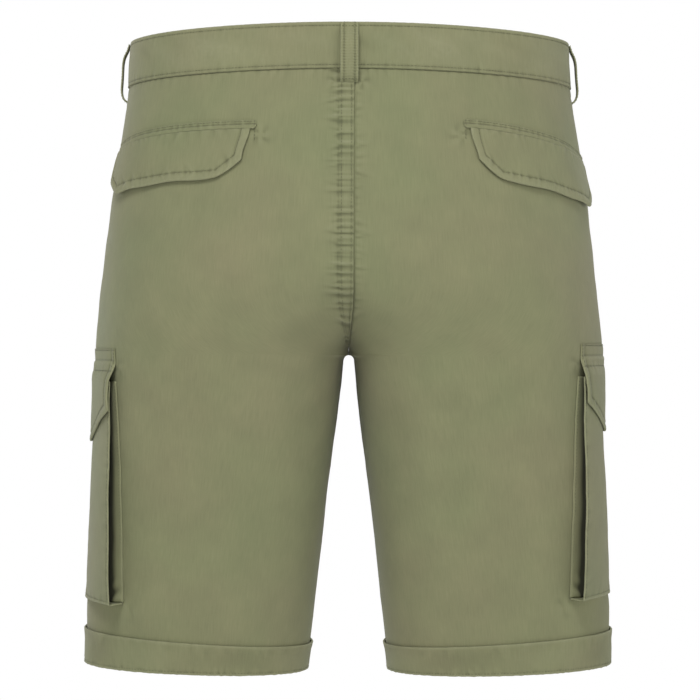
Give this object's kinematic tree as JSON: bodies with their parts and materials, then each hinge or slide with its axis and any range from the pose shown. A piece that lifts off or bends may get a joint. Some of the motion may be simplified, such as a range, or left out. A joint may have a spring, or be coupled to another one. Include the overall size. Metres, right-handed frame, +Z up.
{
  "type": "cargo shorts",
  "caption": "Knee-length cargo shorts in olive cotton, filled out as if worn, with belt loops, flapped back pockets, bellows side pockets and turned-up hems.",
  "frame": {"origin": "The centre of the waist opening, half way up the waistband at the side seams, where the wearer's waist holds the shorts.", "axes": "+Z is up. The front faces -Y and the seat faces +Y. +X is the wearer's left."},
  "size_m": [0.436, 0.2725, 0.5201],
  "materials": {
    "olive_cotton": "peached cotton twill, matt, olive green, lightly crumpled at the seams",
    "olive_button": "satin moulded button, dark olive"
  },
  "bodies": {
    "root": {"back_left": "olive_cotton", "back_right": "olive_cotton", "front_left": "olive_cotton", "front_right": "olive_cotton", "cuff_left": "olive_cotton", "cuff_right": "olive_cotton", "cargo_face_left": "olive_cotton", "cargo_face_right": "olive_cotton", "cargo_gusset_back_left": "olive_cotton", "cargo_gusset_back_right": "olive_cotton", "cargo_gusset_front_left": "olive_cotton", "cargo_gusset_front_right": "olive_cotton", "cargo_flap_left": "olive_cotton", "cargo_flap_right": "olive_cotton", "back_welt_left": "olive_cotton", "back_welt_right": "olive_cotton", "back_flap_left": "olive_cotton", "back_flap_right": "olive_cotton", "belt_loop_back": "olive_cotton", "belt_loop_side_left": "olive_cotton", "belt_loop_side_right": "olive_cotton", "belt_loop_front_left": "olive_cotton", "belt_loop_front_right": "olive_cotton", "waistband": "olive_cotton", "waist_button": "olive_button"}
  },
  "joints": []
}
